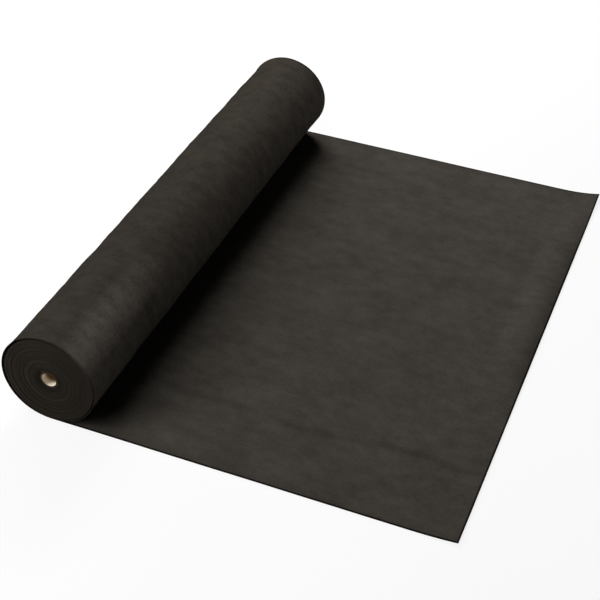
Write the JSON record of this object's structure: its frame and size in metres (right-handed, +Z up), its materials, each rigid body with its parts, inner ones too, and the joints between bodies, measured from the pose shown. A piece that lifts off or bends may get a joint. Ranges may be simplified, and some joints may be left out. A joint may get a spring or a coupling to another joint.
{
  "type": "roll of weed control fabric",
  "caption": "Wide roll of dark non-woven ground cover fabric on a cardboard tube, with its first stretch rolled out flat and the free corners curling up.",
  "frame": {"origin": "on the ground, in the middle of the box that holds the whole part", "axes": "+X from the roll along the laid fabric to its free end, +Y along the roll's axis, +Z up"},
  "size_m": [0.7652, 1, 0.1644],
  "materials": {
    "fabric_on_roll": "matt, fine fibre grain",
    "fabric_laid": "matt, fine fibre grain",
    "cardboard": "matt, spiral wound",
    "tape": "satin"
  },
  "bodies": {
    "laid_fabric": {"laid_sheet": "fabric_laid", "free_end": "fabric_laid"},
    "travelling_turn": {"outer_turn": "fabric_on_roll"},
    "wound_roll": {"core_tube": "cardboard", "start_tape": "tape", "packed_turns": "fabric_on_roll", "wound_turns": "fabric_on_roll"}
  },
  "joints": [
    {"name": "roll_travel", "type": "slide", "parent": "laid_fabric", "child": "travelling_turn", "axis": [1, 0, 0], "range_m": [0, 0.59], "deforming": ["laid_sheet"]},
    {"name": "roll_turn", "type": "hinge", "parent": "travelling_turn", "child": "wound_roll", "pos_m": [-0.30041, 0, 0.0825], "axis": [0, 1, 0], "range_deg": [0, 410]}
  ],
  "couplings": [
    {"joint": "roll_turn", "follows": "roll_travel", "rad_per_m": 12.121}
  ]
}
